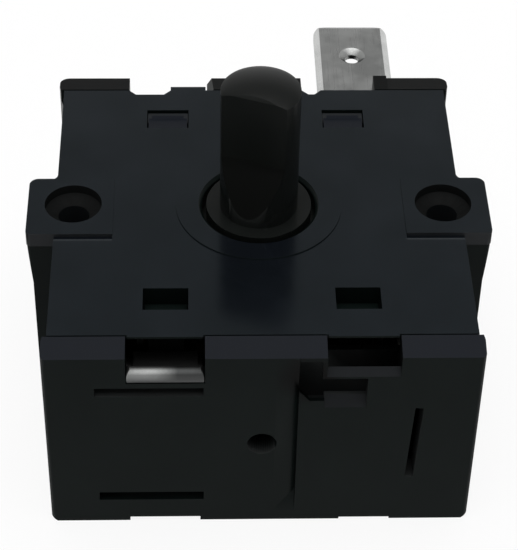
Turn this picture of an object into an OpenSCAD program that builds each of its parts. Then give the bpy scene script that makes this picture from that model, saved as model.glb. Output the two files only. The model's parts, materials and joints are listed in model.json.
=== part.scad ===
// Rotary selector switch with a D shaft, two fixing ears and blade terminals.
// Millimetres. The origin lies on the shaft axis, level with the tops of the ear pads.
// +X runs along the ears, +Y points away from the front face, +Z points out along the shaft.

/* [Housing] */
// Width of the box, left to right
body_w = 31.3; // [31:0.1:34]
// Depth of the box, front to rear
body_d = 32.7; // [32.4:0.1:36]
// Height of the box, from its underside to the cover's top face
body_h = 18.1; // [17.9:0.1:22]
// Thickness of the front and rear walls
end_wall = 1.85; // [1.6:0.05:2]
// Thickness of the side walls
side_wall = 1.6; // [1.2:0.05:1.8]
// Thickness of the floor
floor_t = 2.4; // [2.1:0.05:2.6]
// How far the side faces stand out at their front and rear ends
end_out = 0.4; // [0.1:0.05:0.6]
// Radius of the box's front corners
corner_r = 0.35; // [0.2:0.05:1]
// Radius of the box's rear corners
rear_corner_r = 0.8; // [0.3:0.1:1.2]
// Fall of the front rim from the cover to the outer edge
rim_fall = 0.5; // [0.2:0.05:0.7]
// Fall of the rear rim from the cover to the outer edge
rear_rim_fall = 0.25; // [0.1:0.05:0.7]
// Depth of the shallow ramped groove down the front face
groove_in = 0.55; // [0.1:0.05:0.7]
// Height of the left clearance channel under the floor, twice that of the right one
channel_h = 0.4; // [0.2:0.05:0.5]

/* [Cover] */
// Thickness of the cover plate
cover_t = 1.15; // [1.05:0.05:1.3]
// Gap between the cover and the front and rear rims
cover_gap = 0.12; // [0.05:0.01:0.2]
// Height of the low ring round the shaft
ring_h = 0.1; // [0.05:0.05:0.4]
// Diameter of the low ring round the shaft
ring_d = 12.8; // [11:0.1:14]
// Depth of the notches in the cover's rear edge
edge_notch = 0.6; // [0.4:0.05:1.2]

/* [Fixing ears] */
// Distance between the two screw holes
hole_pitch = 28.6; // [28.6:0.1:30]
// Width over both ears
ear_span = 35.6; // [34.8:0.1:38]
// Depth of each ear, front to rear
ear_d = 6.5; // [6.2:0.1:7.4]
// Radius of the ears' rear corners
ear_corner_r = 0.7; // [0.3:0.1:1.2]
// How far the middle of each ear lies in front of its screw hole
ear_set = 0.25; // [0:0.05:0.4]
// Height of the ear pads above the cover
pad_h = 0.1; // [0.1:0.05:0.6]
// Width of each ear pad, from its outer edge inwards
pad_w = 6.6; // [6.2:0.1:7.4]
// Width of the ramp that falls towards the front of each pad
pad_ramp_w = 0.8; // [0.2:0.05:1]
// Depth of the ramp where it meets the pad
pad_ramp_in = 0.2; // [0.1:0.05:0.6]
// How far the ear columns stand back under the pads
ear_inset = 0.05; // [0.05:0.05:0.4]
// How far the ear columns taper inwards towards their feet
ear_taper = 0.3; // [0.1:0.05:0.6]
// Diameter of the mouth that leads a screw into its hole
screw_lead_d = 4.4; // [3.6:0.1:4.8]
// Depth of the mouth, above the funnel that narrows to the hole
screw_lead_h = 0.75; // [0.2:0.05:0.9]
// Diameter of the pilot hole that the fixing screw cuts into
screw_pilot_d = 2.4; // [2.2:0.1:2.9]
// Depth of the pilot hole below the cover
screw_depth = 10; // [6:0.5:12]
// Plastic left round the pilot hole inside the box
boss_wall = 0.8; // [0.6:0.05:0.9]

/* [Snap hooks] */
// Distance of the hooks and front windows from the middle, left and right
hook_x = 7.1; // [7:0.05:7.2]
// Distance of the hook slots from the middle, front and rear
hook_y = 10.6; // [10.55:0.05:10.9]
// Length of each hook slot
slot_l = 3.35; // [3:0.05:3.45]
// Width of each hook slot
slot_w = 2.3; // [2.2:0.05:2.5]
// Thickness of a hook's stem
stem_t = 0.7; // [0.5:0.05:0.75]
// Height of a hook's nose
nose_h = 0.5; // [0.4:0.05:0.6]
// Depth of the pocket that sets the front hooks lower
pocket_h = 1.1; // [0.8:0.05:1.2]

/* [Shaft] */
// Diameter of the shaft
shaft_d = 6; // [5.5:0.1:6.4]
// Length of the shaft above the cover
shaft_out = 11.6; // [10.5:0.1:20]
// Thickness of the shaft across its flat
across_flat = 4.6; // [4.2:0.1:5]
// Length of the flat, from the tip to the end of its sloping run-out
flat_l = 10.7; // [8:0.1:10.8]
// Turn of the flat away from straight ahead, towards the left
flat_turn = 20; // [0:1:90]
// Height of the crown on the shaft's tip
crown_h = 0.55; // [0.2:0.05:1]
// Diameter of the collar that turns in the cover's bore
collar_d = 8.1; // [7.6:0.1:8.8]
// Running gap round the collar
bore_gap = 0.35; // [0.2:0.05:0.45]
// Diameter of the flange under the cover
flange_d = 12; // [11:0.1:12.6]
// Thickness of the flange
flange_t = 1.2; // [0.8:0.1:1.4]
// Width of the square spindle that drives the cam drum
spindle_w = 5; // [4:0.1:5.2]
// Diameter of the pivot pin under the spindle
pivot_d = 3; // [2.4:0.1:3.4]

/* [Cam drum] */
// Radius of the cams between their lobes
cam_low_r = 5; // [4.6:0.05:5.1]
// Radius of the cams on their lobes
cam_high_r = 5.6; // [5.4:0.05:5.8]
// Height of each cam
cam_h = 3.5; // [3.4:0.05:3.7]
// Width of the square detent section across its flats
detent_w = 9.2; // [8.8:0.05:9.3]
// Height of the square detent section
detent_h = 2.3; // [2.2:0.05:2.6]
// Play between the drum and the parts above and below it
drum_gap = 0.1; // [0.05:0.05:0.2]

/* [Springs and contacts] */
// Thickness of the flat detent springs
spring_t = 0.3; // [0.2:0.05:0.4]
// Height of the flat detent springs
spring_h = 1.8; // [1.4:0.1:2]
// Thickness of the contact leaves
leaf_t = 0.25; // [0.2:0.05:0.3]
// Height of the contact leaves
leaf_h = 3; // [2.9:0.1:3.2]
// Distance of the straight part of a leaf from the middle
leaf_x = 7.05; // [6.95:0.05:7.1]
// Distance that a leaf's free end is set outwards
leaf_step = 1.55; // [1.3:0.05:1.6]
// Distance of the contact rivets in front of the shaft axis
contact_y = 7.8; // [7.7:0.05:7.9]
// Diameter of the contact rivet heads
contact_d = 2.7; // [2.2:0.1:2.8]
// Height of the contact rivet heads
contact_t = 0.7; // [0.5:0.05:0.8]

/* [Terminals] */
// Thickness of the terminal sheet
sheet_t = 0.8; // [0.7:0.05:0.85]
// Width of the push-on tabs
tab_w = 6.3; // [5.8:0.1:6.4]
// Length of a tab outside the rear wall
tab_out = 8.7; // [7.5:0.05:10]
// Distance of the tabs from the middle
tab_x = 8.5; // [8.3:0.05:8.6]
// Outer diameter of the dimple round the latch hole
dimple_d = 2.2; // [1.6:0.1:2.6]
// Diameter of the latch hole
latch_hole_d = 1.2; // [0.8:0.1:1.5]
// Distance of the latch hole from the tab's tip
latch_hole_back = 4.35; // [3.5:0.05:5]
// Width of the bevels along a tab's edges
tab_bevel = 0.5; // [0.2:0.05:0.7]
// Radius of the corners at a tab's tip
tab_corner_r = 1.3; // [0.3:0.1:1.5]
// Width of the rounded end of the terminal in the front left window
blade_w = 5.6; // [5:0.1:5.65]
// How far the rounded end stands out of the front face
blade_out = 0.3; // [0.05:0.05:0.4]
// Radius of the rounded end
bead_r = 0.6; // [0.5:0.01:0.65]
// Drop from the cover's underside to the top of the rounded end
bead_drop = 0.58; // [0.4:0.01:0.6]
// Slope of the strip behind the rounded end
strip_lean = 12; // [9:1:13]
// Distance of the lower terminal plates' inner edges from the middle
plate_in = 4.4; // [4.25:0.05:4.6]
// Distance of the contact tongues' outer faces from the middle
tongue_x = 11.8; // [11.7:0.05:11.85]

/* [Windows and slits] */
// Width of the front windows
front_window_w = 5.75; // [5.7:0.05:6.1]
// Width of the rear windows
rear_window_w = 6.4; // [6.1:0.05:6.5]
// Play round a terminal in the slit that it lies in
slit_gap = 0.06; // [0.03:0.01:0.1]
// Height of the front right window, from the cover's top face to its sill
right_window_h = 1.87; // [1.6:0.01:2]
// Chamfer along the front right window's sill
sill_bevel = 0.53; // [0.3:0.01:0.6]
// Chamfer along the sill of the opening below it
low_sill_bevel = 0.7; // [0.4:0.05:0.8]
// Depth of the chamber behind the front right openings, inside the front wall
chamber_in = 1.1; // [0.8:0.05:1.3]
// Diameter of the round hole in the front wall
eye_d = 2.2; // [1.5:0.1:2.3]
// Width of the upright slit in the front wall
upright_slit_w = 0.65; // [0.5:0.05:0.8]
// Height of the upright slit in the front wall
upright_slit_h = 7.5; // [5:0.1:7.8]

/* [Hidden] */
$fn = 64;

// Levels, from the cover down to the feet
z_plate = -pad_h;
z_under = z_plate - cover_t;
z_bottom = z_plate - body_h;
z_floor = z_bottom + floor_t;
flange_gap = 0.2;
z_flange = z_under - flange_gap;
pivot_boss_h = 0.8;
z_pivot = z_floor + pivot_boss_h;
pivot_sink = 1.2;
pivot_play = 0.2;
foot_drop = 3.2;
chamber_x = 2.62;
chamber_wall = 0.5;
window_trim = 0.37;
z_foot = z_under - foot_drop;
z_chamber = z_foot - 3;

// The drum's cams and square share its length with a hub above and a short end below
z_drum = z_flange - flange_t - drum_gap;
z_drum_end = z_pivot + drum_gap;
hub_share = 0.77;
z_cam_upper = z_drum - hub_share * (z_drum - z_drum_end - 2 * cam_h - detent_h);
z_detent = z_cam_upper - cam_h;
z_cam_lower = z_detent - detent_h;
z_cam_end = z_cam_lower - cam_h;
z_upper = z_cam_upper - cam_h / 2;
z_lower = z_cam_lower - cam_h / 2;
z_spring = z_detent - detent_h / 2;

// Half sizes of the box, outside and inside
half_w = body_w / 2;
half_d = body_d / 2;
in_x = half_w - side_wall;
in_y = half_d - end_wall;
cover_y = in_y - cover_gap;
screw_x = hole_pitch / 2;
boss_x = screw_x - screw_pilot_d / 2 - boss_wall;
bead_y = -half_d - blade_out + bead_r;
bead_z = z_under - bead_drop - bead_r;
right_window_in = hook_x - front_window_w / 2 + window_trim;
past = 1;

// Snap hooks: the nose reaches over a ledge on the shaft's side of its slot
stem_play = 0.75;
stem_w = slot_l - stem_play;
stem_in = hook_y - 0.15;
nose_out = slot_w / 2 - 0.35;
nose_gap = 0.03;
hook_sink = 0.1;
ledge_w = 0.6;
z_nose = z_plate - hook_sink;
z_ledge = z_nose - nose_h - nose_gap;
pocket_wall = 0.6;

// Detent springs lie against the flats of the square section, in slotted posts
spring_gap = 0.05;
spring_y = detent_w / 2 + spring_gap;
spring_slot = 0.1;
post_in = 9.2;
post_w = 1.6;
post_d = 1.6;
post_end = 0.3;

// Leaves, and the common bar with the two flanges that carry them
bend_r = 0.3;
bar_y = 8.2;
leaf_root = bar_y - bend_r - leaf_t / 4;
bar_h = 2;
bar_flange_l = 2.6;
bar_leg_w = 3;
leaf_bump_l = 2.2;
leaf_ramp = 6;
leaf_end = contact_y + 1.5;
leaf_tip_gap = 0.15;
flange_in = leaf_x + leaf_t;
flange_out = flange_in + sheet_t;
contact_x = leaf_x + leaf_step + leaf_t;
rivet_y = bar_y - bar_flange_l / 2;
rivet_r = 0.6;
rivet_gap = 0.04;
tail_r = 1;
tail_t = 0.3;
bar_rib_d = 2.4;
bar_grip = 0.5;
bar_end = boss_x + bar_grip;
stem_gap = 0.3;
strip_in = hook_x + stem_w / 2 + 2 * stem_gap;
strip_out = tab_x + tab_w / 2;
strip_end = hook_y + slot_w / 2 + stem_gap;
foot_recess = 0.9;
contact_margin = 0.1;

housing_colour = [0.15, 0.15, 0.16];
shaft_colour = [0.1, 0.1, 0.11];
drum_colour = [0.85, 0.84, 0.8];
plate_colour = [0.78, 0.78, 0.8];
spring_colour = [0.76, 0.6, 0.42];
silver_colour = [0.9, 0.9, 0.92];

// Extrudes a plan outline between two heights
module between_z(z0, z1) {
    translate([0, 0, z0])
        linear_extrude(z1 - z0) children();
}

// Extrudes an outline drawn in X and Z between two depths
module between_y(y0, y1) {
    translate([0, y1, 0])
        rotate([90, 0, 0])
            linear_extrude(y1 - y0) children();
}

// Extrudes an outline drawn in Y and Z between two widths
module between_x(x0, x1) {
    translate([x0, 0, 0])
        rotate([90, 0, 90])
            linear_extrude(x1 - x0) children();
}

// A block from its low corner to its high corner
module block(low, high) {
    translate(low)
        cube(high - low);
}

// A centred rectangle with round corners
module round_rect(w, d, r) {
    square([w - 2 * r, d], center = true);
    square([w, d - 2 * r], center = true);
    for (sx = [-1, 1], sy = [-1, 1])
        translate([sx * (w / 2 - r), sy * (d / 2 - r)])
            circle(r);
}

// A quarter ring of sheet in the first quadrant, for a bend
module bend_2d() {
    intersection() {
        difference() {
            circle(bend_r + sheet_t);
            circle(bend_r);
        }
        square(bend_r + sheet_t);
    }
}

// The shape as drawn, and its copy on the left
module both_sides() {
    children();
    mirror([1, 0, 0]) children();
}

// Side outline of the box, with the rims falling outwards
module box_outline() {
    polygon([
        [-half_d, z_bottom], [half_d, z_bottom], [half_d, z_plate - rear_rim_fall],
        [in_y, z_plate], [-in_y, z_plate], [-half_d, z_plate - rim_fall]
    ]);
}

// Plan of the box: the side faces stand out a little at both ends
module box_plan() {
    taper_l = 1.5;
    start = half_d - end_wall - 1.1;
    out = half_w + 2 * end_out;
    reach = start + 2 * taper_l;
    intersection() {
        both_sides()
            half_plan(-past, half_w + end_out, -half_d, half_d, rear_corner_r);
        polygon([
            [half_w, start], [out, reach], [out, half_d + past], [-out, half_d + past],
            [-out, reach], [-half_w, start], [-half_w, -start], [-out, -reach],
            [-out, -half_d - past], [out, -half_d - past], [out, -reach], [half_w, -start]
        ]);
    }
}

// A rectangle on the right whose outer corners are round, with their own radius at the rear
module half_plan(inner, outer, front, rear, rear_r) {
    translate([inner, front])
        square([outer - corner_r - inner, rear - front - rear_r]);
    translate([inner, front + corner_r]) {
        square([outer - inner, rear - front - corner_r - rear_r]);
        square([outer - rear_r - inner, rear - front - corner_r]);
    }
    translate([outer - corner_r, front + corner_r])
        circle(corner_r);
    translate([outer - rear_r, rear - rear_r])
        circle(rear_r);
}

// Plan of the right ear from an inner to an outer edge
module ear_2d(inner, outer, depth) {
    half_plan(inner, outer, -ear_set - depth / 2, -ear_set + depth / 2, ear_corner_r);
}

// The fillet between the box's side and the rear of the right ear
module ear_fillet_2d(depth) {
    rear = -ear_set + depth / 2;
    fillet_r = 0.6;
    difference() {
        translate([half_w - fillet_r, rear - fillet_r])
            square(2 * fillet_r);
        translate([half_w + fillet_r, rear + fillet_r])
            circle(fillet_r);
    }
}

// Chamfers along the feet of the side faces, in front of the ears and behind them
module foot_chamfers() {
    chamfer = 0.45;
    ear_clear = 5;
    side = half_w + end_out;
    both_sides()
        for (start = [-half_d - past, ear_clear])
            between_y(start, start + half_d + past - ear_clear)
                polygon([
                    [side - chamfer - past, z_bottom - past], [side + past, z_bottom - past],
                    [side + past, z_bottom + chamfer + past]
                ]);
}

// Front outline of the ear columns, which narrow towards their feet
module column_outline() {
    taper_h = 3.75;
    top = ear_span / 2 - ear_inset;
    foot = top - ear_taper;
    above = z_plate + past;
    reach = foot + ear_taper * (above - z_under + taper_h) / taper_h;
    polygon([
        [-foot, z_bottom - past], [foot, z_bottom - past], [foot, z_under - taper_h],
        [reach, above], [-reach, above], [-foot, z_under - taper_h]
    ]);
}

// Outer form of the base: the box and its ear columns
module base_form() {
    intersection() {
        union() {
            between_z(z_bottom, z_plate) box_plan();
            both_sides()
                between_z(z_bottom, z_under) {
                    ear_2d(-past, ear_span / 2 - ear_inset, ear_d - ear_inset);
                    ear_fillet_2d(ear_d - ear_inset);
                }
        }
        between_x(-ear_span, ear_span) box_outline();
        between_y(-body_d, body_d) column_outline();
    }
}

// The space inside the base and the cover's seat, with the screw bosses left standing
module base_cavity() {
    difference() {
        block([-in_x, -in_y, z_floor], [in_x, in_y, z_plate + past]);
        both_sides()
            block([boss_x, -ear_set - ear_d / 2, z_bottom], [half_w, -ear_set + ear_d / 2, z_plate + past]);
    }
    block([-ear_span, -in_y, z_under], [ear_span, in_y, z_plate + past]);
}

// One snap hook on the right at the rear, its nose lowered by drop
module hook(drop) {
    top = z_nose - drop;
    side = hook_x - stem_w / 2;
    shoulder_x = slot_l / 2 - 0.05;
    nose_x = slot_l / 2 - 0.12;
    block([hook_x - shoulder_x, stem_in, z_under - drop - 0.8],
        [hook_x + shoulder_x, hook_y + slot_w / 2 - 0.05, z_plate - drop - 0.3]);
    block([side, stem_in, z_floor - past], [side + stem_w, stem_in + stem_t, top]);
    between_x(hook_x - nose_x, hook_x + nose_x)
        polygon([
            [stem_in + stem_t / 2, top], [stem_in, top], [stem_in - nose_out, top - nose_h / 2],
            [stem_in - nose_out, top - nose_h], [stem_in + stem_t / 2, top - nose_h]
        ]);
}

// A slotted post for the right end of the rear detent spring
module spring_post() {
    middle = spring_y + spring_t / 2;
    slot = spring_t + 2 * spring_slot;
    difference() {
        block([post_in, middle - post_d / 2, z_floor - past],
            [post_in + post_w, middle + post_d / 2, z_spring + spring_h / 2 + 0.2]);
        block([post_in - past, middle - slot / 2, z_spring - spring_h / 2],
            [post_in + post_w - post_end, middle + slot / 2, z_plate]);
    }
}

// The slotted rib on the right wall that holds an end of the common bar
module bar_rib() {
    middle = bar_y + sheet_t / 2;
    difference() {
        block([boss_x, middle - bar_rib_d / 2, z_floor - past],
            [in_x + side_wall / 2, middle + bar_rib_d / 2, z_under]);
        block([boss_x - past, bar_y - slit_gap, z_bar() - bar_h - slit_gap],
            [bar_end + slit_gap, bar_y + sheet_t + slit_gap, z_plate]);
    }
}

// Top of the common bar, below the bend that leads to the tab
function z_bar() = z_under - sheet_t - bend_r;

// Level, at a depth y, of a line that runs a distance below the middle of the sloping strip
function strip_line(y, low) = bead_z - low / cos(strip_lean) - (y - bead_y) * tan(strip_lean);

// An opening in the front wall with a sloping sill, from its sill up to a top
module sill_opening(x0, x1, sill, top, bevel) {
    between_x(x0, x1)
        polygon([
            [-half_d - past, sill - bevel], [-half_d, sill - bevel], [-half_d + bevel, sill],
            [-in_y, sill], [-in_y, top], [-half_d - past, top]
        ]);
}

// Windows in the rims
module windows() {
    sill = bead_z - bead_r - slit_gap;
    bend_y = bead_y + (bead_z - sill - (sheet_t / 2 + slit_gap) / cos(strip_lean)) / tan(strip_lean);
    between_x(-hook_x - front_window_w / 2, -hook_x + front_window_w / 2)
        polygon([
            [-half_d - past, sill], [bend_y, sill],
            [-in_y + past, strip_line(-in_y + past, sheet_t / 2 + slit_gap)],
            [-in_y + past, z_plate + past], [-half_d - past, z_plate + past]
        ]);
    sill_opening(right_window_in, hook_x + front_window_w / 2,
        z_plate - right_window_h, z_plate + past, sill_bevel);
    both_sides()
        block([hook_x - rear_window_w / 2, in_y - past, z_under - sheet_t],
            [hook_x + rear_window_w / 2, half_d + past, z_plate + past]);
    rim_end = -hook_x + rear_window_w / 2;
    between_y(in_y - past, half_d + past)
        polygon([
            [rim_end - 0.3, z_plate - 1.1], [rim_end, z_plate - 0.9], [rim_end + 0.6, z_plate + 0.1],
            [rim_end - 0.3, z_plate + 0.1]
        ]);
    block([tab_x - tab_w / 2 - slit_gap, in_y - past, z_under - sheet_t - slit_gap],
        [tab_x + tab_w / 2 + slit_gap, half_d + past, z_under + slit_gap]);
    both_sides()
        block([tab_x - tab_w / 2 - slit_gap, in_y - past, z_floor],
            [tab_x + tab_w / 2 + slit_gap, half_d + past, z_floor + sheet_t + slit_gap]);
}

// Outer form of the chamber behind the front right openings, open at its top
module chamber_form() {
    block([chamber_x - chamber_wall, -in_y - chamber_wall, z_chamber - chamber_wall],
        [hook_x + front_window_w / 2 + chamber_wall, -in_y + chamber_in + chamber_wall,
            z_plate - right_window_h - 0.7]);
}

// The space in the chamber and the openings that lead into it
module chamber_space() {
    low_top = z_plate - right_window_h - sill_bevel - 0.2;
    low_sill = z_foot - 0.55;
    step_x = right_window_in - 0.1;
    recess_top = z_plate - rim_fall - 0.35;
    window_out = hook_x + front_window_w / 2;
    block([chamber_x, -half_d + 1, z_chamber], [window_out, -in_y + chamber_in, recess_top]);
    block([right_window_in, -half_d + 1, z_chamber], [window_out, -in_y + chamber_in, z_plate + past]);
    block([right_window_in, -half_d + sill_bevel, z_plate - right_window_h - 0.9],
        [window_out, -half_d + 1.1, z_plate + past]);
    block([chamber_x, -half_d + 0.35, low_sill - 0.8], [step_x, -half_d + 1.1, recess_top]);
    sill_opening(step_x, step_x + 3.1, low_sill, low_top, low_sill_bevel);
    between_y(-half_d - past, -in_y)
        polygon([
            [chamber_x, recess_top], [step_x - 0.22, recess_top],
            [step_x - 0.22, low_top], [step_x + 0.01, low_top], [step_x + 0.01, low_sill],
            [chamber_x + 0.8, low_sill], [chamber_x, low_sill + 1]
        ]);
}

// Slits and the round hole in the front face
module front_openings() {
    slit_over = 0.5;
    slit_lean = 2.5;
    for (z = [z_foot, z_floor])
        block([-tongue_x - slit_over, -half_d - past, z],
            [-plate_in + slit_gap, -in_y + past, z + sheet_t + slit_gap]);
    translate([tongue_x - sheet_t / 2, 0, z_spring])
        rotate([0, slit_lean, 0])
            block([-upright_slit_w / 2, -half_d - past, -upright_slit_h / 2],
                [upright_slit_w / 2, -in_y + past, upright_slit_h / 2]);
    between_y(-half_d - past, -in_y + past)
        translate([0, z_spring])
            circle(d = eye_d);
}

// The shallow groove in the front face: a ramp inwards, then a sharp step back out
module front_groove() {
    groove_end = chamber_x;
    groove_l = 1.7;
    fade = 2 / groove_in;
    intersection() {
        between_z(z_bottom - past, z_plate - rim_fall - 0.1)
            polygon([
                [groove_end - groove_l, -half_d - past], [groove_end - groove_l, -half_d],
                [groove_end, -half_d + groove_in], [groove_end, -half_d - past]
            ]);
        between_x(0, half_w)
            polygon([
                [-half_d - 2 * past, z_plate], [-half_d + groove_in + past, z_plate],
                [-half_d + groove_in + past, z_bottom + 3 + fade * past],
                [-half_d - 2 * past, z_bottom + 1 - 2 * fade * past]
            ]);
    }
}

// Clearance channels under the floor, open at the front and rear
module floor_channels() {
    channel_out = 10;
    left_in = 4.6;
    right_in = 6.1;
    block([-channel_out, -half_d - past, z_bottom - past],
        [-left_in, half_d + past, z_bottom + channel_h]);
    block([right_in, -half_d - past, z_bottom - past],
        [channel_out, half_d + past, z_bottom + channel_h / 2]);
}

// The flat-topped end of the rear rim that reaches over the upper tab
module tab_hood() {
    edge = hook_x + rear_window_w / 2;
    block([edge - 0.35, in_y, z_under + slit_gap], [edge + 0.75, half_d, z_plate]);
}

// Pilot holes for the fixing screws
module pilot_holes() {
    both_sides()
        translate([screw_x, 0, z_under - screw_depth])
            cylinder(d = screw_pilot_d, h = screw_depth + past);
}

module base() {
    color(housing_colour)
        difference() {
            union() {
                difference() {
                    base_form();
                    base_cavity();
                    windows();
                    front_openings();
                    front_groove();
                }
                chamber_form();
                tab_hood();
                both_sides() {
                    hook(0);
                    mirror([0, 1, 0]) hook(pocket_h);
                    spring_post();
                    mirror([0, 1, 0]) spring_post();
                    bar_rib();
                }
                translate([0, 0, z_floor - past])
                    cylinder(d = pivot_d + 3.2, h = past + pivot_boss_h);
            }
            chamber_space();
            floor_channels();
            foot_chamfers();
            pilot_holes();
            translate([0, 0, z_floor - pivot_sink])
                cylinder(d = pivot_d + 0.2, h = pivot_sink + pivot_boss_h + past);
        }
}

// Plan of the cover plate with its ears
module cover_plan() {
    square([body_w, 2 * cover_y], center = true);
    both_sides() {
        ear_2d(-past, ear_span / 2, ear_d);
        ear_fillet_2d(ear_d);
    }
}

// The lip of the cover's front edge over a window between two widths
module lip_2d(x0, x1) {
    lip_out = 0.2;
    translate([x0 + cover_gap, -cover_y - lip_out])
        square([x1 - x0 - 2 * cover_gap, lip_out + past]);
}

// One notch in the cover's rear edge, with sloping ends
module edge_notch_2d(x0, x1) {
    slope = 0.6;
    polygon([
        [x0, cover_y + past], [x0, cover_y], [x0 + slope, cover_y - edge_notch],
        [x1 - slope, cover_y - edge_notch], [x1, cover_y], [x1, cover_y + past]
    ]);
}

// Cuts back the underside of the cover's front edge, where a window shows it
module cover_undercut_2d() {
    lip = 0.2;
    run = cover_t - lip;
    polygon([
        [-cover_y - past, z_plate - lip], [-cover_y, z_plate - lip], [-cover_y + 1.1 * run, z_under],
        [-cover_y + 1.1 * run, z_under - past], [-cover_y - past, z_under - past]
    ]);
}

// A slot for a hook, right at the rear: full size above the ledge, shorter beside it
module hook_slot(drop) {
    block([hook_x - slot_l / 2, hook_y - slot_w / 2, z_ledge - drop],
        [hook_x + slot_l / 2, hook_y + slot_w / 2, z_plate + past]);
    block([hook_x - slot_l / 2, hook_y - slot_w / 2 + ledge_w, z_under - drop - past],
        [hook_x + slot_l / 2, hook_y + slot_w / 2, z_plate]);
}

// The pocket wall that carries a front hook's ledge
module hook_pocket() {
    block([hook_x - slot_l / 2 - pocket_wall, hook_y - slot_w / 2 - pocket_wall, z_under - pocket_h],
        [hook_x + slot_l / 2 + pocket_wall, hook_y + slot_w / 2 + pocket_wall, z_plate - 0.1]);
}

// The ramp that falls towards the front of the right pad, as far as the box's side
module pad_ramp() {
    front = -ear_set - ear_d / 2;
    between_x(ear_span / 2 - pad_w, half_w + past)
        polygon([
            [front - pad_ramp_w, z_plate], [front, z_plate - pad_ramp_in],
            [front, z_plate + past], [front - pad_ramp_w, z_plate + past]
        ]);
}

// The raised pad on the right ear, square at its inner edge
module ear_pad() {
    between_z(z_plate - cover_t / 2, 0)
        ear_2d(ear_span / 2 - pad_w, ear_span / 2, ear_d);
}

module cover() {
    rear_edge = hook_x + rear_window_w / 2;
    left_notch_w = 3.4;
    right_notch_w = 1.6;
    tongue_out = 0.35;
    color(housing_colour)
        difference() {
            union() {
                between_z(z_under, z_plate) {
                    cover_plan();
                    translate([-rear_edge + left_notch_w, 0])
                        square([rear_window_w - left_notch_w - cover_gap, in_y + tongue_out]);
                    lip_2d(-hook_x - front_window_w / 2, -hook_x + front_window_w / 2);
                    lip_2d(right_window_in, hook_x + front_window_w / 2);
                }
                both_sides() ear_pad();
                translate([0, 0, z_plate - cover_t / 2])
                    cylinder(d = ring_d, h = cover_t / 2 + ring_h);
                both_sides() mirror([0, 1, 0]) hook_pocket();
            }
            translate([0, 0, z_under - past])
                cylinder(d = collar_d + 2 * bore_gap, h = cover_t + ring_h + 2 * past);
            translate([0, 0, z_plate + ring_h - 0.25])
                cylinder(d1 = collar_d + 2 * bore_gap, d2 = collar_d + 2 * bore_gap + 0.52, h = 0.26);
            both_sides() {
                hook_slot(0);
                mirror([0, 1, 0]) hook_slot(pocket_h);
                pad_ramp();
                translate([screw_x, 0, z_under - 0.001])
                    cylinder(d1 = screw_pilot_d, d2 = screw_lead_d,
                        h = cover_t + pad_h - screw_lead_h + 0.002);
                translate([screw_x, 0, -screw_lead_h])
                    cylinder(d = screw_lead_d, h = screw_lead_h + past);
            }
            both_sides()
                between_x(hook_x - front_window_w / 2, hook_x + front_window_w / 2)
                    cover_undercut_2d();
            between_z(z_under - past, z_plate + past) {
                edge_notch_2d(-rear_edge, -rear_edge + left_notch_w);
                edge_notch_2d(rear_edge - rear_window_w, rear_edge - rear_window_w + right_notch_w);
            }
        }
}

module shaft() {
    tip = z_plate + shaft_out;
    collar_top = z_plate + ring_h;
    crown_r = (pow(shaft_d / 2, 2) + pow(crown_h, 2)) / (2 * crown_h);
    flat_y = shaft_d / 2 - across_flat;
    flat_edge = 0.35;
    run_out = 4.5;
    run_slope = run_out / (shaft_d / 2 + flat_y);
    color(shaft_colour)
        union() {
            difference() {
                union() {
                    translate([0, 0, z_flange])
                        cylinder(d = shaft_d, h = tip - shaft_d / 2 - z_flange);
                    intersection() {
                        translate([0, 0, tip - shaft_d])
                            cylinder(d = shaft_d, h = shaft_d);
                        translate([0, 0, tip - crown_r])
                            sphere(crown_r);
                    }
                }
                rotate([0, 0, -flat_turn])
                    between_x(-shaft_d, shaft_d)
                        polygon([
                            [-shaft_d, tip - flat_l - run_slope * shaft_d / 2],
                            [flat_y, tip - flat_l + run_out], [flat_y, tip - flat_edge],
                            [flat_y + flat_edge + past, tip + past], [-shaft_d, tip + past]
                        ]);
            }
            translate([0, 0, z_flange])
                cylinder(d = collar_d, h = collar_top - z_flange);
            translate([0, 0, z_flange - flange_t])
                cylinder(d = flange_d, h = flange_t);
            block([-spindle_w / 2, -spindle_w / 2, z_drum_end],
                [spindle_w / 2, spindle_w / 2, z_flange]);
            translate([0, 0, z_floor - pivot_sink + pivot_play])
                cylinder(d = pivot_d, h = z_flange - z_floor);
        }
}

// A lobe that reaches the high radius, centred on an angle in degrees
module lobe_2d(angle) {
    spread = 24;
    flank = 34;
    rotate(angle)
        intersection() {
            circle(cam_high_r);
            polygon([
                [0, 0],
                [cam_low_r * cos(flank), -cam_low_r * sin(flank)],
                [cam_high_r * cos(spread), -cam_high_r * sin(spread)],
                [cam_high_r + past, 0],
                [cam_high_r * cos(spread), cam_high_r * sin(spread)],
                [cam_low_r * cos(flank), cam_low_r * sin(flank)]
            ]);
        }
}

module cam_drum() {
    fit = 0.05;
    hub_r = 4.5;
    end_r = 4.1;
    color(drum_colour)
        difference() {
            union() {
                between_z(z_cam_upper, z_drum) circle(hub_r);
                between_z(z_detent, z_cam_upper) {
                    circle(cam_low_r);
                    lobe_2d(90);
                }
                between_z(z_cam_lower, z_detent)
                    intersection() {
                        square(detent_w, center = true);
                        circle(r = detent_w * 0.65);
                    }
                between_z(z_cam_end, z_cam_lower) {
                    circle(cam_low_r);
                    lobe_2d(0);
                    lobe_2d(270);
                }
                between_z(z_drum_end, z_cam_end) circle(end_r);
            }
            between_z(z_bottom, z_drum + past) square(spindle_w + 2 * fit, center = true);
        }
}

// A flat detent spring behind the drum
module detent_spring() {
    reach = post_in + post_w - post_end - 0.1;
    color(spring_colour)
        between_y(spring_y, spring_y + spring_t)
            translate([0, z_spring])
                round_rect(2 * reach, spring_h, 0.4);
}

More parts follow.
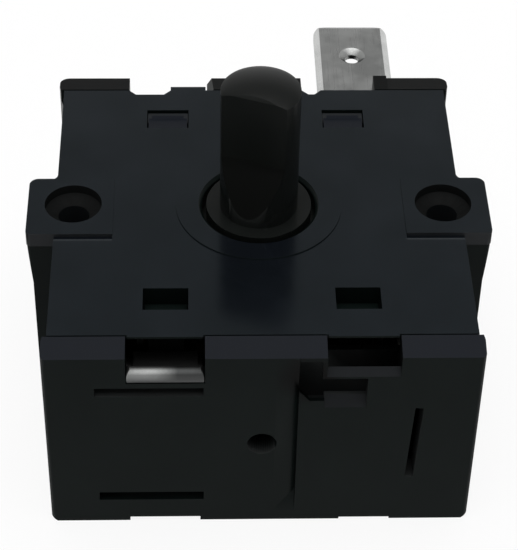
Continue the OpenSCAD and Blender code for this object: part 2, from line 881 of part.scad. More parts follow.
// A push-on tab at the rear right, its underside at z
module tab(z) {
    root = in_y - sheet_t;
    tip = half_d + tab_out;
    edge = sheet_t / 4;
    difference() {
        intersection() {
            between_y(root, tip)
                polygon([
                    [tab_x - tab_w / 2, z + edge], [tab_x - tab_w / 2 + tab_bevel, z],
                    [tab_x + tab_w / 2 - tab_bevel, z], [tab_x + tab_w / 2, z + edge],
                    [tab_x + tab_w / 2, z + sheet_t - edge],
                    [tab_x + tab_w / 2 - tab_bevel, z + sheet_t],
                    [tab_x - tab_w / 2 + tab_bevel, z + sheet_t],
                    [tab_x - tab_w / 2, z + sheet_t - edge]
                ]);
            between_z(z, z + sheet_t)
                translate([tab_x, tip - body_d / 2])
                    round_rect(tab_w, body_d, tab_corner_r);
            between_x(0, body_w)
                polygon([
                    [root, z], [tip - 2 * edge, z], [tip, z + edge],
                    [tip, z + sheet_t - edge], [tip - 2 * edge, z + sheet_t], [root, z + sheet_t]
                ]);
        }
        translate([tab_x, tip - latch_hole_back, z - past])
            cylinder(d = latch_hole_d, h = sheet_t + 2 * past);
        translate([tab_x, tip - latch_hole_back, z + sheet_t / 2])
            cylinder(d1 = latch_hole_d, d2 = dimple_d, h = sheet_t / 2 + 0.001);
    }
}

// Holes in a contact flange or a leaf for the rivet at a level
module rivet_hole(level, y) {
    translate([0, y, level])
        rotate([0, 90, 0])
            cylinder(r = rivet_r + rivet_gap, h = body_w);
}

// The bar's leg and flange on the right, down to the bottom of the leaf at a level
module bar_flange(level) {
    bottom = level - leaf_h / 2 - contact_margin;
    turn = bend_r + sheet_t;
    between_z(bottom, z_bar()) {
        translate([flange_out - bar_leg_w, bar_y])
            square([bar_leg_w - turn, sheet_t]);
        translate([flange_out - turn, bar_y - bend_r])
            bend_2d();
    }
    between_z(bottom, z_upper + leaf_h / 2 + contact_margin)
        translate([flange_in, bar_y - bar_flange_l])
            square([sheet_t, bar_flange_l - bend_r]);
}

module terminal_common() {
    turn = bend_r + sheet_t;
    color(plate_colour)
        difference() {
            union() {
                block([-bar_end, bar_y, z_bar() - bar_h], [bar_end, bar_y + sheet_t, z_bar()]);
                bar_flange(z_upper);
                mirror([1, 0, 0]) bar_flange(z_lower);
                between_x(strip_in, strip_out)
                    translate([bar_y + turn, z_under - turn])
                        mirror([1, 0])
                            bend_2d();
                block([strip_in, bar_y + turn, z_under - sheet_t], [strip_out, in_y, z_under]);
                block([tab_x - tab_w / 2, strip_end, z_under - sheet_t], [strip_out, in_y, z_under]);
                tab(z_under - sheet_t);
            }
            rivet_hole(z_upper, rivet_y);
            mirror([1, 0, 0]) rivet_hole(z_upper, rivet_y);
            mirror([1, 0, 0]) rivet_hole(z_lower, rivet_y);
        }
}

// The front left terminal, drawn on the right and mirrored into place
module terminal_front_left() {
    turn = bend_r + sheet_t;
    wall_y = -in_y + 0.1 + sheet_t;
    low_wall = z_foot + turn + 0.1;
    high_wall_x = hook_x + front_window_w / 2 + 0.1;
    strip_w = blade_w - 0.9;
    tongue_low = z_upper - leaf_h / 2;
    wall_top = z_under - 0.15;
    color(plate_colour)
        mirror([1, 0, 0])
            difference() {
                union() {
                    intersection() {
                        translate([hook_x - blade_w, bead_y, bead_z])
                            rotate([0, 90, 0])
                                cylinder(r = bead_r, h = 2 * blade_w);
                        between_y(bead_y - past, bead_y + past)
                            translate([hook_x, bead_z])
                                round_rect(blade_w, 2 * bead_r + 0.2, 0.55);
                    }
                    between_x(hook_x - strip_w / 2, hook_x + strip_w / 2)
                        polygon([
                            [bead_y, strip_line(bead_y, sheet_t / 2)],
                            [bead_y, strip_line(bead_y, -sheet_t / 2)],
                            [wall_y, strip_line(wall_y, -sheet_t / 2)], [wall_y, z_foot + turn],
                            [wall_y - sheet_t, z_foot + turn],
                            [wall_y - sheet_t, strip_line(wall_y - sheet_t, sheet_t / 2)]
                        ]);
                    block([plate_in, wall_y - sheet_t, z_foot + turn],
                        [tongue_x - turn, wall_y, low_wall]);
                    block([high_wall_x, wall_y - sheet_t, z_foot + turn],
                        [tongue_x - turn, wall_y, wall_top]);
                    between_x(plate_in, tongue_x - turn) {
                        translate([wall_y - turn, z_foot + turn])
                            mirror([0, 1])
                                bend_2d();
                        translate([-half_d + foot_recess, z_foot])
                            square([half_d - foot_recess + wall_y - turn, sheet_t]);
                    }
                    between_z(z_foot + turn, wall_top)
                        translate([tongue_x - turn, wall_y + bend_r])
                            mirror([0, 1])
                                bend_2d();
                    between_x(tongue_x - sheet_t, tongue_x)
                        polygon([
                            [wall_y + bend_r, z_foot + turn], [wall_y + bend_r, wall_top],
                            [-contact_y + 1.5, wall_top], [-contact_y + 1.5, tongue_low],
                            [-contact_y - 1.5, tongue_low], [-contact_y - 1.5, z_foot + turn]
                        ]);
                }
                rivet_hole(z_upper, -contact_y);
            }
}

// Plan of a lower terminal plate on the right, from a front edge to the rear wall
module lower_plate_2d(front) {
    post_y = spring_y + spring_t / 2;
    difference() {
        translate([plate_in, front])
            square([tongue_x - sheet_t - bend_r - plate_in, in_y - front]);
        for (y = [-1, 1]) {
            translate([hook_x, y * (stem_in + stem_t / 2)])
                square([stem_w + 2 * stem_gap, stem_t + 2 * stem_gap], center = true);
            translate([post_in - stem_gap, y * post_y - post_d / 2 - stem_gap])
                square([tongue_x, post_d + 2 * stem_gap]);
        }
    }
}

// A lower terminal on the right: floor plate, tab and a tongue bent up at its outer edge
module lower_terminal(front, level) {
    turn = bend_r + sheet_t;
    tongue_front = -contact_y - 1.5;
    tongue_rear = -contact_y + 1.5;
    difference() {
        union() {
            between_z(z_floor, z_floor + sheet_t) lower_plate_2d(front);
            between_y(tongue_front, tongue_rear) {
                translate([tongue_x - turn, z_floor + turn])
                    mirror([0, 1])
                        bend_2d();
                translate([tongue_x - sheet_t, z_floor + turn])
                    square([sheet_t, level + leaf_h / 2 - z_floor - turn]);
            }
            tab(z_floor);
        }
        rivet_hole(level, -contact_y);
    }
}

module terminal_rear_left() {
    color(plate_colour)
        mirror([1, 0, 0])
            lower_terminal(-half_d + foot_recess, z_lower);
}

module terminal_rear_right() {
    color(plate_colour)
        lower_terminal(-in_y + 0.3, z_upper);
}

// A contact leaf on the right: straight root, bump towards the cam, stepped free end
module leaf(level) {
    tip = cam_low_r + leaf_tip_gap;
    far = leaf_x + leaf_step;
    color(spring_colour)
        difference() {
            between_z(level - leaf_h / 2, level + leaf_h / 2)
                polygon([
                    [leaf_x, leaf_root], [leaf_x, leaf_bump_l], [tip, 0], [leaf_x, -leaf_bump_l],
                    [far, -leaf_ramp], [far, -leaf_end], [far + leaf_t, -leaf_end],
                    [far + leaf_t, -leaf_ramp], [leaf_x + leaf_t, -leaf_bump_l],
                    [tip + 1.4 * leaf_t, 0], [leaf_x + leaf_t, leaf_bump_l],
                    [leaf_x + leaf_t, leaf_root]
                ]);
            rivet_hole(level, rivet_y);
            rivet_hole(level, -contact_y);
        }
}

// A rivet along X with a crowned head on its right and a flat tail on its left
module contact_rivet(x, y, level, grip) {
    crown_r = 5;
    color(silver_colour)
        translate([x, y, level])
            rotate([0, 90, 0]) {
                intersection() {
                    cylinder(d = contact_d, h = contact_t);
                    translate([0, 0, contact_t - crown_r])
                        sphere(r = crown_r);
                }
                translate([0, 0, -grip])
                    cylinder(r = rivet_r, h = grip);
                translate([0, 0, -grip - tail_t])
                    cylinder(r = tail_r, h = tail_t);
            }
}

// The moving contact of a leaf on the right
module moving_contact(level) {
    contact_rivet(contact_x, -contact_y, level, leaf_t);
}

// The fixed contact on a tongue on the right, facing inwards
module fixed_contact(level) {
    translate([2 * (tongue_x - sheet_t), 0, 0])
        mirror([1, 0, 0])
            contact_rivet(tongue_x - sheet_t, -contact_y, level, sheet_t);
}

// The rivet that holds the root of a leaf on the right to its flange
module leaf_rivet(level) {
    translate([leaf_x, rivet_y, level])
        rotate([0, 90, 0]) {
            translate([0, 0, -tail_t])
                cylinder(r = tail_r, h = tail_t);
            cylinder(r = rivet_r, h = leaf_t + sheet_t);
            translate([0, 0, leaf_t + sheet_t])
                cylinder(r = tail_r, h = tail_t);
        }
}

module leaf_rivets() {
    color(plate_colour) {
        leaf_rivet(z_upper);
        mirror([1, 0, 0]) {
            leaf_rivet(z_upper);
            leaf_rivet(z_lower);
        }
    }
}

cover();
base();
shaft();
cam_drum();
mirror([0, 1, 0]) detent_spring();  // detent_spring_front
detent_spring();  // detent_spring_rear
terminal_common();
terminal_front_left();
terminal_rear_left();
terminal_rear_right();
mirror([1, 0, 0]) leaf(z_upper);  // leaf_left_upper
mirror([1, 0, 0]) leaf(z_lower);  // leaf_left_lower
leaf(z_upper);  // leaf_right_upper
mirror([1, 0, 0]) moving_contact(z_upper);  // moving_contact_left_upper
mirror([1, 0, 0]) moving_contact(z_lower);  // moving_contact_left_lower
moving_contact(z_upper);  // moving_contact_right_upper
mirror([1, 0, 0]) fixed_contact(z_upper);  // fixed_contact_left_upper
mirror([1, 0, 0]) fixed_contact(z_lower);  // fixed_contact_left_lower
fixed_contact(z_upper);  // fixed_contact_right_upper
leaf_rivets();
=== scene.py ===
import json
import math

import bmesh
import bpy
from mathutils import Matrix, Vector


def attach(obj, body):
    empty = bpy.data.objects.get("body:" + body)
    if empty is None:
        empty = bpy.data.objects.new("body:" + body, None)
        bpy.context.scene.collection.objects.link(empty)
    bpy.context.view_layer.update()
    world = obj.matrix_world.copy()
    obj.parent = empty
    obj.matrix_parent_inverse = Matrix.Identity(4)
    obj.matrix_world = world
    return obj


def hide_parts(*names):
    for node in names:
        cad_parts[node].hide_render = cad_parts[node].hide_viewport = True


MM = 0.001
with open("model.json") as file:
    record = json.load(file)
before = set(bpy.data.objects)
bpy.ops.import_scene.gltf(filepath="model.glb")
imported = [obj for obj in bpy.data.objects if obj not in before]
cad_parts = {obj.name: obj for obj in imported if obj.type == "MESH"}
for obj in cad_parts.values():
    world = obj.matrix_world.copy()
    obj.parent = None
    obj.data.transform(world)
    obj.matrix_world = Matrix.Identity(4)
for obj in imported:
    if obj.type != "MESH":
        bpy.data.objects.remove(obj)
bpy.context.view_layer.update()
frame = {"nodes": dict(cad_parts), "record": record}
nodes = frame["nodes"]
bpy.context.scene.view_settings.view_transform = "Standard"

# Places on the switch, in millimetres
PLATE = -0.1
UNDERSIDE = -18.2
SCREW_X = 14.3
HOOK_X = 7.1
HOOK_NOSE_Y = 10.89
TAB_X = 8.5
TAB_HOLE_Y = 20.7


# Colour

def linear(hex_colour):
    """An sRGB hex colour as the linear colour that a shader takes."""
    channels = [int(hex_colour[i:i + 2], 16) / 255 for i in (1, 3, 5)]
    straight = [c / 12.92 if c <= 0.04045 else ((c + 0.055) / 1.055) ** 2.4 for c in channels]
    return (*straight, 1.0)


# Materials

COLOURS = {"data_type": "RGBA"}


def add(tree, kind, settings=None, **links):
    """A node of that kind, with its settings and its inputs, each a value or another node's output.

    A name such as i6 is the input at that place, for nodes whose inputs share a name.
    """
    node = tree.nodes.new(kind)
    for name, value in (settings or {}).items():
        setattr(node, name, value)
    for name, value in links.items():
        key = int(name[1:]) if name[0] == "i" and name[1:].isdigit() else name.replace("_", " ")
        socket = node.inputs[key]
        if isinstance(value, bpy.types.NodeSocket):
            tree.links.new(value, socket)
        else:
            socket.default_value = value
    return node


def start(name):
    """A new material with its tree, its shader and the object's own coordinates."""
    material = bpy.data.materials.new(name)
    material.use_nodes = True
    tree = material.node_tree
    shader = tree.nodes["Principled BSDF"]
    place = add(tree, "ShaderNodeTexCoord").outputs["Object"]
    return material, tree, shader, place


def moulded(name, colour, worn, level, gloss, grain_mm=0.12, relief_mm=0.002, painted_shade=None):
    """Injection-moulded plastic: a fine spark-eroded grain, cloudy gloss and faint pale handling marks.

    A painted shade is a darker patch painted where shade falls: its colour, its middle and the two distances
    that it fades between, in mm.
    """
    cloud_mm = 6
    material, tree, shader, place = start(name)
    cloud = add(tree, "ShaderNodeTexNoise", Vector=place, Scale=1 / (cloud_mm * MM), Detail=3.0,
                Roughness=0.55).outputs["Fac"]
    grain = add(tree, "ShaderNodeTexNoise", Vector=place, Scale=1 / (grain_mm * MM), Detail=2.0)
    handled = add(tree, "ShaderNodeMapRange", Value=cloud, From_Min=0.35, From_Max=0.7)
    tint = add(tree, "ShaderNodeMix", COLOURS, Factor=handled.outputs["Result"], i6=linear(colour),
               i7=linear(worn))
    # Painted shade: a darker patch where shade falls
    if painted_shade:
        shade_tone, middle, near_mm, far_mm = painted_shade
        away = add(tree, "ShaderNodeVectorMath", {"operation": "DISTANCE"}, i0=place, i1=Vector(middle) * MM)
        share = add(tree, "ShaderNodeMapRange", Value=away.outputs["Value"], From_Min=near_mm * MM,
                    From_Max=far_mm * MM)
        tint = add(tree, "ShaderNodeMix", COLOURS, Factor=share.outputs["Result"], i6=linear(shade_tone),
                   i7=tint.outputs[2])
    tree.links.new(tint.outputs[2], shader.inputs["Base Color"])
    sheen = add(tree, "ShaderNodeMapRange", Value=cloud, From_Min=0.3, From_Max=0.7, To_Min=gloss - 0.03,
                To_Max=gloss + 0.04)
    tree.links.new(sheen.outputs["Result"], shader.inputs["Roughness"])
    bump = add(tree, "ShaderNodeBump", Strength=1.0, Distance=relief_mm * MM, Height=grain.outputs["Fac"])
    tree.links.new(bump.outputs["Normal"], shader.inputs["Normal"])
    shader.inputs["Specular IOR Level"].default_value = level
    shader.inputs["IOR"].default_value = 1.5
    return material


def rolled(name, colour, dull, gloss, spread, painted_shades=()):
    """Rolled and plated strip: fine lines along the rolling direction, and a dull bloom here and there.

    A painted shade is its colour, an axis and the two places on it that it spreads between, in millimetres.
    """
    line_width_mm = 0.08
    line_length_mm = 4
    cloud_mm = 2.5
    relief_mm = 0.003
    material, tree, shader, place = start(name)
    across = 1 / (line_width_mm * MM)
    drawn = add(tree, "ShaderNodeMapping", Vector=place, Scale=(across, 1 / (line_length_mm * MM), across))
    lines = add(tree, "ShaderNodeTexNoise", Vector=drawn.outputs["Vector"], Scale=1.0,
                Detail=2.0).outputs["Fac"]
    cloud = add(tree, "ShaderNodeTexNoise", Vector=place, Scale=1 / (cloud_mm * MM), Detail=4.0)
    bloom = add(tree, "ShaderNodeMapRange", Value=cloud.outputs["Fac"], From_Min=0.38, From_Max=0.62)
    tint = add(tree, "ShaderNodeMix", COLOURS, Factor=bloom.outputs["Result"], i6=linear(colour),
               i7=linear(dull))
    # Painted shade, graded along an axis
    for shade_colour, axis, unshaded_mm, full_mm in painted_shades:
        along = add(tree, "ShaderNodeSeparateXYZ", Vector=place).outputs[axis]
        share = add(tree, "ShaderNodeMapRange", Value=along, From_Min=unshaded_mm * MM, From_Max=full_mm * MM)
        tint = add(tree, "ShaderNodeMix", COLOURS, Factor=share.outputs["Result"], i6=tint.outputs[2],
                   i7=linear(shade_colour))
    tree.links.new(tint.outputs[2], shader.inputs["Base Color"])
    sheen = add(tree, "ShaderNodeMapRange", Value=lines, From_Min=0.3, From_Max=0.7, To_Min=gloss - spread,
                To_Max=gloss + spread)
    tree.links.new(sheen.outputs["Result"], shader.inputs["Roughness"])
    bump = add(tree, "ShaderNodeBump", Strength=1.0, Distance=relief_mm * MM, Height=lines)
    tree.links.new(bump.outputs["Normal"], shader.inputs["Normal"])
    shader.inputs["Metallic"].default_value = 1.0
    return material


# Black polyester moulding of the cover: deep black with a cool, softly glossy skin
cover_black = moulded("black_polyester_moulded", "#0b0e12", "#0d1015", 0.28, 0.17)
cover_black.node_tree.nodes["Principled BSDF"].inputs["Specular Tint"].default_value = linear("#dcf3f9")
# Black polyester moulding of the box: matt black, its sheen is faint and even, darkest by the hook, where
# painted shade darkens it towards the recess
housing_black = moulded("matt_black_polyester_moulded", "#0b1110", "#0e1413", 0.05, 0.32,
                        painted_shade=("#020202", (3.4, -16.3, -2.9), 1.2, 2.7))
# The same moulding on the front rims: a trace smoother and cooler, so they belong to the cover
rim_black = moulded("satin_black_polyester_moulded", "#0e1219", "#10141b", 0.06, 0.3)
# The same moulding in the screw mouths and on the rear rims: rough, it stays dark beside the cover
rough_black = moulded("rough_black_polyester_moulded", "#0c0d0d", "#0e0f0f", 0.06, 0.6, relief_mm=0.004)
# The same moulding where the tool cored it out: painted light greys these shaded recesses, and painted shade
# keeps them black behind the window
recess_painted_light_and_shade = moulded("black_polyester_recess_painted_light_and_shade", "#2b2d2d", "#2f3131", 0.04, 0.6, relief_mm=0.004,
                      painted_shade=("#0b0c0c", (8, -13.4, -1.5), 3.2, 4.8))
# The same moulding on the window's sill and in the pilot holes: painted light makes it a little paler where
# shade falls
sill_and_pilot_painted_light = moulded("black_polyester_sill_painted_light", "#191b1d", "#1d1f21", 0.1, 0.32)
# The same moulding on the step of the fixing pads and on the hook noses: painted light greys them, so the
# shaded step and the gap behind the hooks are only faint lines
step_and_nose_painted_light = moulded("black_polyester_step_painted_light", "#242628", "#282a2c", 0.1, 0.4)
# Black nylon moulding of the shaft: neutral black, a little paler, with a weak satin sheen
shaft_black = moulded("black_nylon_moulded", "#131514", "#161817", 0.1, 0.24, 0.1)
# The same nylon on the flat: painted shade darkens it evenly towards the foot
flat_painted_shade = moulded("black_nylon_flat_painted_shade", "#131514", "#161817", 0.1, 0.24, 0.1,
                     painted_shade=("#0d0f0d", (-0.9, -2.4, 4.2), 1.0, 6.0))
# The same nylon where the flat runs out: left rough by the tool, with painted shade as dark as the flat's
# foot
run_out_painted_shade = moulded("rough_black_nylon_run_out_painted_shade", "#0b0c0b", "#0d0e0d", 0.04, 0.5, 0.1, 0.004)
# The same nylon on the dome: rough, so its highlight is low and wide, and a little darker as painted shade
dome_painted_shade = moulded("rough_black_nylon_dome_painted_shade", "#0e100f", "#111312", 0.09, 0.36, 0.1)
# Natural acetal moulding of the cam drum: milky white, waxy
drum_white = moulded("natural_acetal_moulded", "#dfdbcd", "#d6d1c2", 0.5, 0.35, 0.2)
# Tin-plated brass strip, rolled and stamped: grey-white, softly bright
tin_plate = rolled("tin_plated_brass_strip", "#9b9c9b", "#848584", 0.3, 0.04)
# The same strip where the punch coined the dimple: frosted, so it shines softly all round
coined_tin = rolled("coined_tin_plated_brass", "#a6a7a6", "#8f908f", 0.42, 0.05)
# The same strip on the bevelled edges of the blade: a painted highlight, a pale line on each side
bevel_painted_highlight = rolled("tin_plated_brass_bevel_painted_highlight", "#cfd0cf", "#bfc0bf", 0.24, 0.04)
# The same strip on the far side of the dimple: painted shade makes it grey instead of white
dimple_painted_shade = rolled("tin_plated_brass_dimple_painted_shade", "#656665", "#585958", 0.5, 0.05)
# The same strip on the lower rear terminals: a matt plate, so they stay grey below the black wall
matt_tin = rolled("matt_tin_plated_brass", "#b4b5b4", "#9e9f9e", 0.58, 0.05)
# The front terminal's strip, bent and handled: bright on the left, painted shade grey on the right, low and
# behind the bead
front_tin_painted_shade = rolled("tin_plated_brass_front_painted_shade", "#8c8d8c", "#828382", 0.5, 0.05,
                       (("#404141", "X", -7.8, -6.2), ("#4c4d4d", "Z", -2.0, -2.6),
                        ("#383838", "Y", -16.2, -15.5)))
# Phosphor bronze spring strip: warm reddish brown metal
bronze = rolled("phosphor_bronze_strip", "#a97d58", "#8c6444", 0.34, 0.06)
# Spring steel strip: cool grey, bright
steel = rolled("spring_steel_strip", "#a9abae", "#96989b", 0.28, 0.05)
# Silver contact rivets: dulled by use, grey with a soft sheen
silver = rolled("silver_contact_rivet", "#5f5d5a", "#4a4846", 0.5, 0.05)

FINISHES = {
    "housing_plastic": housing_black,
    "shaft_plastic": shaft_black,
    "drum_plastic": drum_white,
    "plated_terminal": tin_plate,
    "contact_bronze": bronze,
    "spring_steel": steel,
    "contact_silver": silver,
}
slot_of = {part["node"]: part["material_slot"] for part in frame["record"]["subparts"]}


def finish_with(obj, material):
    obj.data.materials.clear()
    obj.data.materials.append(material)


for name, obj in nodes.items():
    finish_with(obj, cover_black if name == "cover" else FINISHES[slot_of[name]])


# Edges: a moulded or stamped copy of a CAD solid with its sharp edges rounded

def softened(node, name, radius_mm, segments, body, from_degrees=20):
    """A copy of the node that replaces it, with the edges that turn further than the angle rounded."""
    weld_mm = 0.002
    flat_degrees = 1.0
    copy = nodes[node].copy()
    copy.data = nodes[node].data.copy()
    copy.name = name
    copy.data.name = name
    copy.parent = None
    copy.matrix_world = Matrix.Identity(4)
    bpy.context.scene.collection.objects.link(copy)
    shape = bmesh.new()
    shape.from_mesh(copy.data)
    bmesh.ops.remove_doubles(shape, verts=shape.verts, dist=weld_mm * MM)
    bmesh.ops.dissolve_limit(shape, angle_limit=math.radians(flat_degrees), verts=shape.verts,
                             edges=shape.edges)
    for face in shape.faces:
        face.smooth = True
    shape.to_mesh(copy.data)
    shape.free()
    bevel = copy.modifiers.new("rounded_edges", "BEVEL")
    bevel.width = radius_mm * MM
    bevel.segments = segments
    bevel.limit_method = "ANGLE"
    bevel.angle_limit = math.radians(from_degrees)
    bevel.use_clamp_overlap = True
    bevel.harden_normals = False
    copy.modifiers.new("flat_faces_shade_flat", "WEIGHTED_NORMAL").weight = 50
    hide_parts(node)
    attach(copy, body)
    return copy


def refinish(piece, material, chosen):
    """Another finish on the chosen faces: chosen takes a face's middle in millimetres and its normal."""
    piece.data.materials.append(material)
    for face in piece.data.polygons:
        if chosen(face.center / MM, face.normal):
            face.material_index = len(piece.data.materials) - 1


# Where the finishes end: places in millimetres, and the parts of a normal that tell which way a face looks

FACING = 0.9
MOUTH_RADIUS = 2.3
MOUTH_DEPTH = (-1.26, -0.01)
PILOT_RADIUS = 1.35
PAD_INNER_END = 10
PAD_FRONT_Y = (-3.6, -3.4)
RIM_LOWEST = -0.7
REAR_RIM_Y = 14
CHAMBER_X = (2.5, 10.3)
CHAMBER_Y = (-15.9, -12.7)
CHAMBER_Z = (-8, -0.3)
SLIT_Y = (-16.3, -15.2)
SLIT_HIGHEST = -3.9
GROOVE_X = (1, 10.5)
INNER_POST_X = (2, 11)
INNER_POST_Y = (-11.3, -11)
NOSE_REACH_X = 0.1
NOSE_REACH_Y = 0.3
NOSE_Z = (-0.45, -0.35)
SILL_X = (4, 10)
SILL_Z = (-6, -1.5)
SILL_REARMOST = -15.7
SILL_LEAN = 0.3
DIMPLE_RADIUS = 1.2
DIMPLE_LEAN = (0.3, 0.95)
FAR_SIDE_LEAN = 0.2
EDGE_BEVEL_LEAN = 0.3
FLAT_FACING = 0.92
FLAT_UPRIGHT = 0.05
FLAT_LOWEST = 5
RUN_OUT_LEAN = (0.2, 0.5)
RUN_OUT_HIGHEST = 6
DOME_LEAN = 0.05
DOME_LOWEST = 8


def between(value, limits):
    return limits[0] < value < limits[1]


def from_screw(middle):
    return math.hypot(abs(middle.x) - SCREW_X, middle.y)


def on_cover_side(middle, normal):
    return normal.z < FACING


def in_mouth(middle, normal):
    return from_screw(middle) < MOUTH_RADIUS and between(middle.z, MOUTH_DEPTH)


def on_pad_front(middle, normal):
    return abs(middle.x) > PAD_INNER_END and between(middle.y, PAD_FRONT_Y) and normal.y < -FACING


def on_rim(middle, normal):
    return normal.z > FACING and middle.z > RIM_LOWEST


def on_front_rim(middle, normal):
    return on_rim(middle, normal) and middle.y < REAR_RIM_Y


def in_dark_recess(middle, normal):
    chamber = between(middle.x, CHAMBER_X) and between(middle.y, CHAMBER_Y) and between(middle.z, CHAMBER_Z)
    slit = between(middle.y, SLIT_Y) and middle.z < SLIT_HIGHEST and not between(middle.x, GROOVE_X)
    post = between(abs(middle.x), INNER_POST_X) and between(middle.y, INNER_POST_Y) and normal.y < -FACING
    return chamber or slit or post


def on_sill_or_pilot_hole(middle, normal):
    pilot_hole = from_screw(middle) < PILOT_RADIUS
    sill = between(middle.x, SILL_X) and middle.y < SILL_REARMOST and between(middle.z, SILL_Z)
    return pilot_hole or sill and normal.z > SILL_LEAN


def on_hook_nose(middle, normal):
    on_line = abs(abs(middle.x) - HOOK_X) < NOSE_REACH_X
    return on_line and abs(middle.y - HOOK_NOSE_Y) < NOSE_REACH_Y and between(middle.z, NOSE_Z)


def in_dimple(middle, normal):
    from_middle = math.hypot(abs(middle.x) - TAB_X, middle.y - TAB_HOLE_Y)
    return from_middle < DIMPLE_RADIUS and between(normal.z, DIMPLE_LEAN)


def on_far_side_of_dimple(middle, normal):
    return in_dimple(middle, normal) and normal.y > FAR_SIDE_LEAN


def on_blade_bevel(middle, normal):
    return abs(normal.x) > EDGE_BEVEL_LEAN and normal.z > FACING


def on_flat(middle, normal):
    return normal.y < -FLAT_FACING and abs(normal.z) < FLAT_UPRIGHT and middle.z > FLAT_LOWEST


def on_run_out(middle, normal):
    return between(normal.z, RUN_OUT_LEAN) and middle.z < RUN_OUT_HIGHEST


def on_dome(middle, normal):
    return normal.z > DOME_LEAN and middle.z > DOME_LOWEST


cover = softened("cover", "cover_moulding", 0.07, 2, "housing")
refinish(cover, housing_black, on_cover_side)
refinish(cover, rough_black, in_mouth)
# Painted light on the shaded step of the fixing pads
refinish(cover, step_and_nose_painted_light, on_pad_front)
base = softened("base", "base_moulding", 0.12, 2, "housing")
refinish(base, rough_black, on_rim)
refinish(base, rim_black, on_front_rim)
# Painted light in the shaded recesses, painted shade behind the window
refinish(base, recess_painted_light_and_shade, in_dark_recess)
# Painted light on the sill and in the pilot holes
refinish(base, sill_and_pilot_painted_light, on_sill_or_pilot_hole)
# Painted light on the hook noses
refinish(base, step_and_nose_painted_light, on_hook_nose)
shaft = softened("shaft", "knob_shaft", 0.15, 3, "rotor", 35)
# Painted shade down the flat towards the foot
refinish(shaft, flat_painted_shade, on_flat)
# Painted shade on the run-out
refinish(shaft, run_out_painted_shade, on_run_out)
# Painted shade on the dome
refinish(shaft, dome_painted_shade, on_dome)
for terminal in ("terminal_common", "terminal_rear_left", "terminal_rear_right"):
    stamping = softened(terminal, terminal + "_stamping", 0.08, 2, "housing")
    # Painted highlight on the common blade's bevels
    if terminal == "terminal_common":
        refinish(stamping, bevel_painted_highlight, on_blade_bevel)
    else:
        finish_with(stamping, matt_tin)
    refinish(stamping, coined_tin, in_dimple)
    # Painted shade on the far side of the dimple
    refinish(stamping, dimple_painted_shade, on_far_side_of_dimple)
front_stamping = softened("terminal_front_left", "terminal_front_left_stamping", 0.08, 2, "housing")
# Painted shade on the front terminal's strip
finish_with(front_stamping, front_tin_painted_shade)


# Camera, at the photograph's angle

def make_camera():
    data = bpy.data.cameras.new("camera")
    camera = bpy.data.objects.new("camera", data)
    bpy.context.scene.collection.objects.link(camera)
    data.sensor_width = 36
    data.lens = 132.02
    pitch, yaw, roll = math.radians(42.80), math.radians(-2.36), math.radians(1.37)
    distance = 150.1 * MM
    aim = Vector((-0.17, -8.06, PLATE)) * MM
    back = Vector((math.sin(yaw) * math.cos(pitch), -math.cos(yaw) * math.cos(pitch), math.sin(pitch)))
    right = Vector((0, 0, 1)).cross(back).normalized()
    up = back.cross(right)
    across = right * math.cos(roll) + up * math.sin(roll)
    upright = up * math.cos(roll) - right * math.sin(roll)
    turn = Matrix((across, upright, back)).transposed().to_4x4()
    camera.matrix_world = Matrix.Translation(aim + back * distance) @ turn
    data.clip_start = 0.005
    data.clip_end = 20
    bpy.context.scene.camera = camera


make_camera()


# Floor and studio

FLOOR_REACH = 1500
WALL_HEIGHT = 1000
SHADOW_FULL = 45
SHADOW_REACH = 150
SHADOW_SHARE = 0.12
ROOM_LIGHT = 0.4


def white_to_the_eye(tree, lit, share):
    """Plain white to the camera and in reflections, but for the share of it that the lit surface takes."""
    path = add(tree, "ShaderNodeLightPath").outputs
    seen = add(tree, "ShaderNodeMath", {"operation": "MAXIMUM"}, i0=path["Is Camera Ray"],
               i1=path["Is Glossy Ray"])
    seen = add(tree, "ShaderNodeMath", {"operation": "MAXIMUM"}, i0=seen.outputs[0],
               i1=path["Is Transmission Ray"])
    rest = add(tree, "ShaderNodeMath", {"operation": "SUBTRACT"}, i0=1.0, i1=share)
    part = add(tree, "ShaderNodeMath", {"operation": "MULTIPLY"}, i0=seen.outputs[0], i1=rest.outputs[0])
    white = add(tree, "ShaderNodeEmission", Color=(1, 1, 1, 1), Strength=1.0)
    return add(tree, "ShaderNodeMixShader", i0=part.outputs[0], i1=lit, i2=white.outputs[0]).outputs[0]


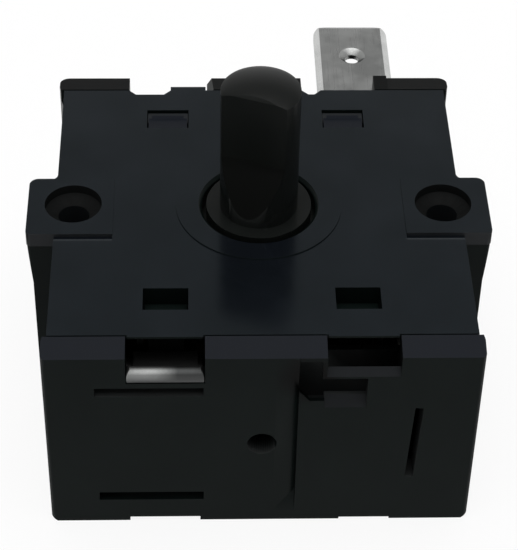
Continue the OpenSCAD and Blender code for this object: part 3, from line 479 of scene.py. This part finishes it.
def studio_white():
    """Matt white paint, lit near the switch only, so that its shadow stays."""
    material, tree, shader, place = start("white_painted_board")
    shader.inputs["Base Color"].default_value = linear("#f7f7f7")
    shader.inputs["Roughness"].default_value = 0.9
    shader.inputs["Specular IOR Level"].default_value = 0.0
    away = add(tree, "ShaderNodeVectorMath", {"operation": "LENGTH"}, i0=place)
    share = add(tree, "ShaderNodeMapRange", Value=away.outputs["Value"], From_Min=SHADOW_FULL * MM,
                From_Max=SHADOW_REACH * MM, To_Min=SHADOW_SHARE, To_Max=0.0)
    surface = white_to_the_eye(tree, shader.outputs[0], share.outputs["Result"])
    tree.links.new(surface, tree.nodes["Material Output"].inputs["Surface"])
    return material


def make_stage():
    """A round floor under the switch and a low wall round it."""
    shape = bmesh.new()
    ground = bmesh.ops.create_circle(shape, cap_ends=True, segments=64, radius=FLOOR_REACH * MM)
    bmesh.ops.translate(shape, verts=ground["verts"], vec=(0, 0, UNDERSIDE * MM))
    rim = [edge for edge in shape.edges if edge.is_boundary]
    raised = bmesh.ops.extrude_edge_only(shape, edges=rim)
    top = [part for part in raised["geom"] if isinstance(part, bmesh.types.BMVert)]
    bmesh.ops.translate(shape, verts=top, vec=(0, 0, WALL_HEIGHT * MM))
    mesh = bpy.data.meshes.new("studio_floor")
    shape.to_mesh(mesh)
    shape.free()
    floor = bpy.data.objects.new("studio_floor", mesh)
    bpy.context.scene.collection.objects.link(floor)
    finish_with(floor, studio_white())


def make_world():
    world = bpy.data.worlds.new("studio")
    world.use_nodes = True
    bpy.context.scene.world = world
    room = world.node_tree.nodes["Background"]
    room.inputs["Color"].default_value = (1, 1, 1, 1)
    room.inputs["Strength"].default_value = ROOM_LIGHT


def add_softbox(name, place_mm, aim_mm, width_mm, radiance):
    """A round lamp whose face shines at that radiance."""
    data = bpy.data.lights.new(name, "AREA")
    data.shape = "DISK"
    data.size = width_mm * MM
    face_area = math.pi * (width_mm * MM / 2) ** 2
    data.energy = radiance * math.pi * face_area
    lamp = bpy.data.objects.new(name, data)
    bpy.context.scene.collection.objects.link(lamp)
    place = Vector(place_mm) * MM
    lamp.location = place
    lamp.rotation_euler = (Vector(aim_mm) * MM - place).to_track_quat("-Z", "Y").to_euler()


make_stage()
make_world()
add_softbox("overhead_softbox", (0, 0, 600), (0, 0, 0), 800, 2.3)
